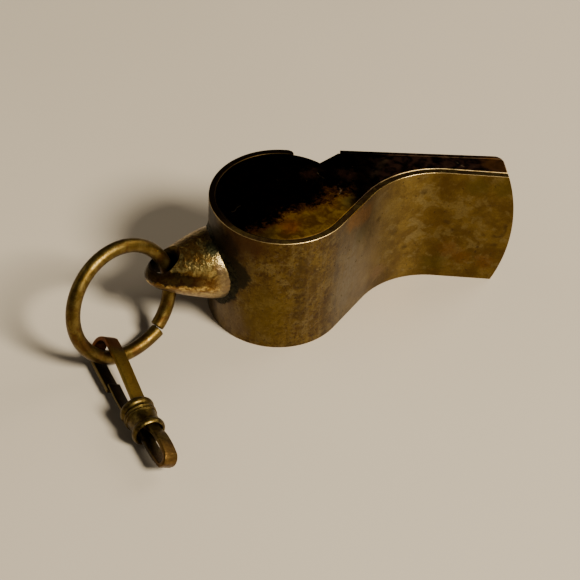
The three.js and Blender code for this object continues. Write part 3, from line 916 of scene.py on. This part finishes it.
def band_grime(s, colour, blotch):
    """The black round the lug's foot, as a mask and on the colour, and the dark stains beside it."""
    streak = s.patch([(3.1, -9.5, 0)], 1.0, 0.8, 0.5, (1, 1, 0))
    streak = s.both(streak, s.step(blotch, 0.4, 0.56, 0.35, 1.0), s.between(s.z, 5.0, 17.5, 1.5))
    reddish = s.patch([(-5.9, -8.0, 17.9), (-4.0, -9.1, 18.6)], 2.2, 1.3, 0.5)
    rim_stain = s.patch([(-9.2, -3.6, 17.6), (-8.4, -5.4, 16.8), (-7.2, -6.8, 16.2)], 2.3, 0.7, 0.5)
    stain = s.either(
        s.patch([(-9.3, -3.5, 9.9)], 6.1, 0.3, 0.5),
        s.patch([(-6.3, -7.7, 12.2)], 2.8, 0.3, 0.5),
        s.patch([(-8.7, -5.0, 15.2)], 2.4, 0.4, 0.5),
    )
    return stain, s.layered(
        colour,
        (streak, 0.65, (0.04, 0.021, 0.004)),
        (reddish, 0.85, (0.05, 0.017, 0.004)),
        (rim_stain, 0.95, (0.012, 0.006, 0.003)),
        (stain, 0.96, GRIME),
    )


def band_specks(s):
    """A mask of the dark specks all over the band, and its larger spots, pits and crack near the mouth."""
    spots = [(20.3, 5.9, 16.3), (13.9, 2.4, 13.9), (16.6, 4.5, 9.8), (18.4, 5.3, 6.2)]
    pits = [(24.2, 6.1, 10.6), (25.4, 6.0, 9.2), (29.8, 5.8, 8.7), (31.5, 5.7, 6.8)]
    crack = [(32.7, 5.6, 10.6), (32.6, 5.6, 9.3), (32.1, 5.6, 8.4), (31.2, 5.6, 8.7)]
    return s.either(
        s.step(s.noise(1.5, 3, 0.5, 0.2), 0.64, 0.74),
        s.step(s.noise(5.2, 2, 0.5), 0.66, 0.78, 0, 0.35),
        s.patch(spots, 0.4, 0.4, 0.4),
        s.patch(pits, 0.35, 0.35, 0.4),
        s.trail(crack, 0.2, 0.2, 0.3),
    )


def band_material():
    s = Surface("band_brass")
    blotch = s.noise(0.9, 6, 0.6, 0.6)
    fine = s.noise(3.2, 5, 0.6)
    grain = s.noise(11.0, 3, 0.6)
    barrel = s.step(s.x, 13.0, 8.0, 0.2, 1.0)
    stain, colour = band_grime(s, band_patches(s, band_patina(s, blotch, barrel)), blotch)
    dark = band_specks(s)

    # Painted dark reflection: faces that look straight up are darkened, as the dark room mirrored in them.
    # On the near side and towards the mouth the lighter mottled rim colour goes over it.
    flat = s.step(s.facing_up, 0.9, 0.97)
    near_flat = s.both(flat, s.either(s.step(s.x, 2.0, 9.0), s.step(s.y, -4.0, -8.0)))
    rim = s.mix(s.step(blotch, 0.42, 0.6), (0.07, 0.036, 0.012), (0.12, 0.078, 0.02))
    radius = s.vector_math("LENGTH", s.scaled(s.place, (1, 1, 0)), (0, 0, 0)).outputs["Value"]
    # Bright brass on the band's rounded edges, partly wear and partly a painted highlight: on the barrel
    # only along the near outer edge, which faces the lamp, growing towards the mouth.
    near_side = s.both(s.step(radius, 9.5, 9.7), s.step(s.y, 1.0, -5.0), s.step(s.x, 9.5, 7.0))
    inside = s.both(s.rounded, s.step(radius, 9.5, 9.35), s.step(s.x, 12.0, 8.0))
    worn_and_highlit_edges = s.either(near_side, s.step(s.x, 10.0, 27.0, 0.0, 1.0))
    colour = s.layered(
        colour,
        (dark, 0.65, (0.036, 0.017, 0.004)),
        (s.step(fine, 0.35, 0.65), 0.25, (0.05, 0.03, 0.007)),
        (s.step(grain, 0.4, 0.62), 0.25, (0.045, 0.026, 0.007)),
        # painted dark reflection on the faces that look up
        (flat, 1.0, (0.024, 0.012, 0.004)),
        (near_flat, 0.85, rim),
        (inside, 0.9, (0.02, 0.011, 0.004)),
        (s.both(s.worn_and_highlit_arris(), worn_and_highlit_edges), 1.0, WORN_AND_HIGHLIGHT),
    )
    gloss = s.step(s.x, 8.0, 13.0, 0.34, 0.24)
    rough = s.sum((gloss, 1), (blotch, 0.12), (s.either(dark, stain), 0.2), (near_flat, 0.12))
    s.bump(s.sum((fine, 0.4), (grain, 0.25), (dark, -0.6)), 0.00003, 0.6)
    return s.finish(colour, rough)


def plate_amber(s, ragged):
    """Masks of the amber lacquer on the upper plate, its reddish fringe and its orange edge."""
    broad = s.noise(0.42, 4, 0.55, 0.4)
    thinning = s.step(s.x, -4.5, 1.0, -1.5, 0.0)
    inwards = s.sum((s.along((0.52, -0.854, 0)), 1), (ragged, 7.0), (broad, 6.5), (thinning, 1))
    limits = s.both(
        s.step(s.along((1, 0, 0), s.warped(0.5)), 9.0, 10.8, 1, 0),
        s.step(s.x, -7.0, -3.5),
        s.step(s.z, RIM - 0.6, RIM - 0.2),
    )
    amber = s.both(s.step(inwards, 10.6, 11.3), limits)
    fringe = s.both(s.step(inwards, 8.6, 10.5), limits)
    edge = s.step(inwards, 12.6, 11.2)
    return amber, fringe, edge


def plate_gold(s, blotch, mottle, edge):
    """The amber lacquer's colour, which is orange at its edge and brown where it thins out."""
    return s.layered(
        s.mix(s.step(blotch, 0.42, 0.6), (0.17, 0.072, 0.004), (0.25, 0.135, 0.011)),
        (s.step(mottle, 0.54, 0.64), 0.5, (0.09, 0.032, 0.004)),
        (edge, 0.55, (0.24, 0.09, 0.005)),
        (s.patch([(1.2, -6.4, RIM)], 1.2, 0.8, 0.6), 0.8, (0.27, 0.075, 0.004)),
        # Painted highlight: a paler olive-gold spot at the lacquer's end towards the mouth.
        (s.patch([(9.4, -0.8, RIM)], 1.4, 1.0, 0.5), 0.8, (0.16, 0.11, 0.02)),
        (s.step(s.x, 0.5, -2.0), 0.75, (0.055, 0.036, 0.008)),
    )


def plate_marks(s):
    """A mask of the scratches and pale specks on the upper plate."""
    squiggle = [(-6.7, -3.7, RIM), (-6.3, -3.5, RIM), (-6.2, -3.0, RIM), (-5.7, -2.6, RIM)]
    return s.either(
        s.trail(squiggle, 0.08, 0.1, 0.2),
        s.trail([(5.0, 5.2, RIM), (5.3, 4.5, RIM), (5.9, 3.8, RIM)], 0.08, 0.1, 0.2),
        s.trail([(7.9, 2.0, RIM), (8.1, 1.4, RIM), (8.0, 0.8, RIM)], 0.1, 0.12, 0.2),
        s.trail([(24.4, 8.9, RIM), (25.0, 8.2, RIM), (25.7, 7.7, RIM)], 0.1, 0.1, 0.3),
        s.both(s.step(s.noise(4.2, 2, 0.5), 0.70, 0.76), s.step(s.noise(0.5, 2), 0.42, 0.58)),
    )


def plate_material():
    s = Surface("plate_brass")
    blotch = s.noise(0.8, 6, 0.62, 0.5)
    ragged = s.noise(1.7, 7, 0.68, 0.8)
    mottle = s.noise(2.6, 5, 0.65, 0.5)
    mouthpiece = s.step(s.x, 9.0, 16.0)
    reddish = s.mix(s.step(blotch, 0.38, 0.62), DARK, (0.038, 0.016, 0.009))
    brown = s.patch([(4.1, 4.9, RIM), (9.0, 4.6, RIM)], 1.4, 1.2, 1.4)
    amber, fringe, edge = plate_amber(s, ragged)
    corner = s.patch([(29.6, 8.6, RIM), (31.0, 8.2, RIM), (31.8, 7.2, RIM)], 1.4, 0.8, 0.5)
    smear = s.trail([(14.5, 8.4, RIM), (13.7, 6.9, RIM), (12.6, 4.7, RIM)], 0.3, 0.5, 0.3)
    marks = plate_marks(s)
    # Bright brass on the mouthpiece's rounded edges, partly wear and partly a painted highlight, fading out
    # on the far edge, away from the lamp.
    worn_and_highlit_mouthpiece = s.both(s.worn_and_highlit_arris(), s.step(s.x, 9.0, 27.0), s.step(s.y, 6.5, 8.5, 1.0, 0.05))
    colour = s.layered(
        s.mix(s.step(blotch, 0.42, 0.66), DARK, (0.024, 0.011, 0.005)),
        (mouthpiece, 0.85, reddish),
        (brown, 0.7, (0.035, 0.013, 0.006)),
        (fringe, 0.85, (0.085, 0.028, 0.005)),
        (amber, 0.95, plate_gold(s, blotch, mottle, edge)),
        (corner, 0.7, (0.10, 0.038, 0.006)),
        (smear, 0.5, (0.12, 0.075, 0.035)),
        (marks, 0.4, (0.34, 0.25, 0.13)),
        (s.both(s.rounded, s.step(s.x, 12.0, 8.0)), 0.9, (0.02, 0.012, 0.005)),
        (worn_and_highlit_mouthpiece, 1.0, WORN_AND_HIGHLIGHT),
    )
    dull_mouthpiece = s.both(mouthpiece, s.step(blotch, 0.3, 0.6, 0.45, 1.0))
    dull = s.either(amber, fringe, corner, dull_mouthpiece, brown)
    s.bump(s.sum((marks, -0.7), (ragged, 0.2)), 0.00002, 0.4)
    return s.finish(colour, s.sum((s.step(blotch, 0.3, 0.7, 0.15, 0.27), 1), (dull, 0.3), (marks, 0.2)))


def lug_material():
    s = Surface("lug_brass")
    clouds = s.noise(0.7, 6, 0.6, 0.6)
    hammered = s.noise(1.6, 3, 0.5, 0.2)
    fine = s.noise(3.6, 5, 0.65)
    middle = MID / MM
    level = s.along((0, 0, 1), s.warped(0.6))
    reach = s.sum((s.along((*polar(1, LUG_DEG), 0)), 1), (clouds, 1.6))
    # Painted dark reflection: the lug's upper side is darkened, broken up by the hammered blotches, as the
    # dark room mirrored there.
    top_dark_reflection = s.step(s.sum((level, 1), (reach, 0.2)), middle + 5.0, middle + 6.0)
    top_dark_reflection = s.both(top_dark_reflection, s.step(hammered, 0.38, 0.52, 1.0, 0.45))
    smear = s.between(level, middle - 0.2, middle + 1.9, 0.3)
    smear = s.both(smear, s.step(reach, 11.4, 14.5, 0.7, 1.0))
    smeared = s.mix(s.step(reach, 12.5, 15.5), (0.07, 0.026, 0.006), (0.014, 0.007, 0.003))
    tip = (*polar(LUG_HOLE / MM, LUG_DEG), 0)
    # Painted shade: the walls of the lug's hole are darkened and made rougher.
    bore_shade = s.patch([tip], LUG_HOLE_MOUTH / MM - 0.05, 0.12, squash=(1, 1, 0))
    colour = s.layered(
        s.mix(s.step(clouds, 0.42, 0.58), (0.26, 0.135, 0.026), (0.68, 0.48, 0.14)),
        (s.step(hammered, 0.52, 0.64), 0.7, (0.13, 0.06, 0.012)),
        (s.step(fine, 0.54, 0.66), 0.6, (0.07, 0.04, 0.012)),
        # painted dark reflection on the lug's upper side
        (top_dark_reflection, 0.6, (0.05, 0.024, 0.007)),
        (smear, 0.95, smeared),
        # Painted reflection of the bright floor: the lug is paler below the barrel's middle height.
        (s.step(level, middle - 0.4, middle - 1.2), 0.5, (0.20, 0.14, 0.065)),
        (s.step(reach, 12.0, 10.6), 0.5, (0.20, 0.16, 0.09)),
        (s.patch([(-9.2, -5.4, 14.4)], 1.0, 0.5, 0.4), 0.8, (0.04, 0.055, 0.025)),
        # painted shade in the hole
        (bore_shade, 0.93, (0.012, 0.007, 0.003)),
    )
    s.bump(s.sum((fine, 0.5), (hammered, 1)), 0.00014, 0.7)
    return s.finish(colour, s.sum((s.step(clouds, 0.3, 0.7, 0.40, 0.28), 1), (bore_shade, 0.35)))


def ring_material():
    s = Surface("ring_brass")
    clouds = s.noise(0.8, 5, 0.6, 0.4)
    fine = s.noise(4.5, 4, 0.6)
    reddish = s.noise(0.45, 4, 0.6, 0.5)
    colour = s.layered(
        s.mix(s.step(clouds, 0.4, 0.62), (0.093, 0.054, 0.009), (0.150, 0.097, 0.024)),
        (s.step(reddish, 0.52, 0.62), 0.7, (0.08, 0.032, 0.007)),
        (s.step(fine, 0.54, 0.68), 0.7, (0.04, 0.022, 0.007)),
    )
    s.bump(fine, 0.00003, 0.6)
    return s.finish(colour, s.step(fine, 0.3, 0.7, 0.36, 0.5))


def clip_material():
    s = Surface("clip_brass")
    clouds = s.noise(1.3, 5, 0.65, 0.5)
    fine = s.noise(4.0, 4, 0.65)
    x_axis, y_axis, z_axis = CLIP.to_3x3().col
    origin = CLIP.translation / MM
    reach = s.sum((s.along(x_axis), 1), (x_axis.dot(origin), -1))
    height = s.sum((s.along(z_axis), 1), (z_axis.dot(origin), -1))
    on_hook = s.step(reach, 0.1, 0.3)
    strips = s.either(on_hook, s.step(reach, -5.1, -5.3))
    edges = s.step(s.math("ABSOLUTE", s.along(y_axis, s.normal)), 0.75, 0.9)
    # Painted light: the hook's upper leg, which faces the lamp, is painted a lighter gold than the rest.
    lit_upper_leg = s.both(s.step(height, 0.6, 1.0), s.between(reach, 0.3, 8.5, 1.0))
    bend = s.mix(clouds, (0.06, 0.02, 0.005), (0.22, 0.06, 0.008))
    eye = s.mix(clouds, (0.05, 0.022, 0.006), (0.17, 0.085, 0.02))
    shaded = s.mix(s.both(edges, on_hook), (0.012, 0.008, 0.004), (0.13, 0.09, 0.025))
    colour = s.layered(
        s.mix(s.step(clouds, 0.42, 0.58), (0.052, 0.032, 0.007), (0.110, 0.074, 0.018)),
        (lit_upper_leg, 0.85, (0.21, 0.135, 0.02)),
        (s.step(reach, 8.4, 10.2), 0.85, bend),
        (s.step(reach, -7.4, -8.8), 0.7, eye),
        (s.both(s.step(height, -0.4, -0.9), strips), 0.9, shaded),
        (s.step(fine, 0.54, 0.68), 0.7, (0.025, 0.015, 0.005)),
    )
    s.bump(s.sum((fine, 1), (clouds, 1)), 0.00005, 0.6)
    return s.finish(colour, s.step(fine, 0.3, 0.7, 0.30, 0.5))


def solder_material():
    s = Surface("solder")
    clouds = s.noise(1.6, 6, 0.65, 0.6)
    fine = s.noise(6.0, 4, 0.6)
    colour = s.mix(s.step(clouds, 0.4, 0.62), GRIME, (0.034, 0.029, 0.013))
    s.bump(s.sum((clouds, 1), (fine, 1)), 0.00006, 0.7)
    return s.finish(colour, s.step(fine, 0.3, 0.7, 0.55, 0.8))


def cork_material():
    s = Surface("cork")
    grains = s.cells(1.3)
    clouds = s.noise(0.8, 5, 0.6)
    specks = s.step(s.noise(2.4, 3, 0.5), 0.66, 0.72)
    colour = s.layered(
        s.mix(s.step(grains, 0.1, 0.6), (0.50, 0.30, 0.14), (0.30, 0.16, 0.07)),
        (s.step(clouds, 0.4, 0.65), 0.6, (0.58, 0.40, 0.22)),
        (specks, 1.0, (0.09, 0.045, 0.02)),
    )
    s.bump(s.sum((grains, 1), (specks, -1.2)), 0.00012, 0.8)
    return s.finish(colour, 0.85, 0.0)


def floor_material():
    s = Surface("floor")
    clouds = s.noise(0.012, 3, 0.5)
    colour = s.mix(clouds, (0.47, 0.395, 0.285), (0.51, 0.435, 0.318))
    return s.finish(colour, s.step(clouds, 0.3, 0.7, 0.42, 0.5), 0.0)


# -------- stage, light and camera

FLOOR_HALF = 1.5
FLOOR_DROP = 0.02 * MM
ROOM_COLOUR = (1.0, 0.93, 0.84, 1)
ROOM_STRENGTH = 0.018

# Name, azimuth and elevation in degrees, distance and width in metres, power in watts, colour
LIGHTS = (
    ("key", -40, 43, 0.9, 0.27, 19.0, (1.0, 0.95, 0.86)),
    ("back_fill", 32, 36, 0.9, 0.5, 3.2, (1.0, 0.93, 0.84)),
    ("left_fill", 165, 28, 0.7, 0.4, 0.45, (1.0, 0.95, 0.9)),
)
LIGHT_TARGET = Vector((0, 0, 0.005))


def floor():
    builder = bmesh.new()
    signs = [(-1, -1), (1, -1), (1, 1), (-1, 1)]
    corners = [(x * FLOOR_HALF, y * FLOOR_HALF, -FLOOR_DROP) for x, y in signs]
    builder.faces.new([builder.verts.new(corner) for corner in corners])
    piece = new_piece("floor", builder)
    piece.data.materials.append(floor_material())


def light_from(name, azimuth, elevation, distance, size, power, colour):
    """A round light aimed at the whistle, from a direction counted in degrees round +Z from +X."""
    flat = polar(distance * math.cos(math.radians(elevation)), azimuth)
    position = LIGHT_TARGET + Vector((flat.x, flat.y, distance * math.sin(math.radians(elevation))))
    data = bpy.data.lights.new(name, "AREA")
    data.shape = "DISK"
    data.size = size
    data.energy = power
    data.color = colour
    light = add_object(name, data)
    light.location = position
    light.rotation_euler = (LIGHT_TARGET - position).to_track_quat("-Z", "Y").to_euler()


def lights():
    world = bpy.data.worlds.new("dim_room")
    world.use_nodes = True
    background = world.node_tree.nodes["Background"]
    background.inputs["Color"].default_value = ROOM_COLOUR
    background.inputs["Strength"].default_value = ROOM_STRENGTH
    bpy.context.scene.world = world
    for light in LIGHTS:
        light_from(*light)


CAMERA_ELEVATION_DEG = 43.893
CAMERA_ROLL_DEG = 3.6176
CAMERA_TURN_DEG = 2.3
CAMERA_DISTANCE = 219.0655 * MM
CAMERA_ASIDE = Vector((-2.0302, 1.3385)) * MM  # where the barrel's foot stands in the view, right and down
CAMERA_LENS = 93.103
CAMERA_SENSOR = 36
IMAGE_SIDE = 580


def camera():
    elevation = math.radians(CAMERA_ELEVATION_DEG)
    forward = Vector((0, math.cos(elevation), -math.sin(elevation)))
    right = Vector((1, 0, 0))
    down = forward.cross(right)
    roll = math.radians(CAMERA_ROLL_DEG)
    view_right = right * math.cos(roll) - down * math.sin(roll)
    view_down = right * math.sin(roll) + down * math.cos(roll)
    place = -(view_right * CAMERA_ASIDE.x + view_down * CAMERA_ASIDE.y + forward * CAMERA_DISTANCE)
    turn = Matrix.Rotation(math.radians(-CAMERA_TURN_DEG), 4, "Z")
    axes = Matrix((view_right, -view_down, -forward)).transposed().to_4x4()
    data = bpy.data.cameras.new("camera")
    data.lens = CAMERA_LENS
    data.sensor_width = CAMERA_SENSOR
    data.clip_start = 0.01
    data.shift_y = -1 / IMAGE_SIDE
    eye = add_object("camera", data)
    eye.matrix_world = turn @ Matrix.Translation(place) @ axes
    bpy.context.scene.camera = eye


# -------- assembly

def dress(material, *pieces):
    for piece in pieces:
        piece.data.materials.clear()
        piece.data.materials.append(material)


dress(band_material(), barrel_band())
dress(
    plate_material(),
    side_plate("upper_plate", "upper_side_plate", WIDTH - SHEET),
    side_plate("lower_plate", "lower_side_plate", 0),
    mouthpiece_roof(),
    windway_tongue(),
)
dress(cork_material(), cork_pea())
dress(lug_material(), ring_lug())
dress(solder_material(), lug_solder())
dress(ring_material(), split_ring())
dress(clip_material(), clip_hook(), clip_gate(), clip_ferrule(), swivel_rivet(), swivel_eye())

floor()
lights()
camera()
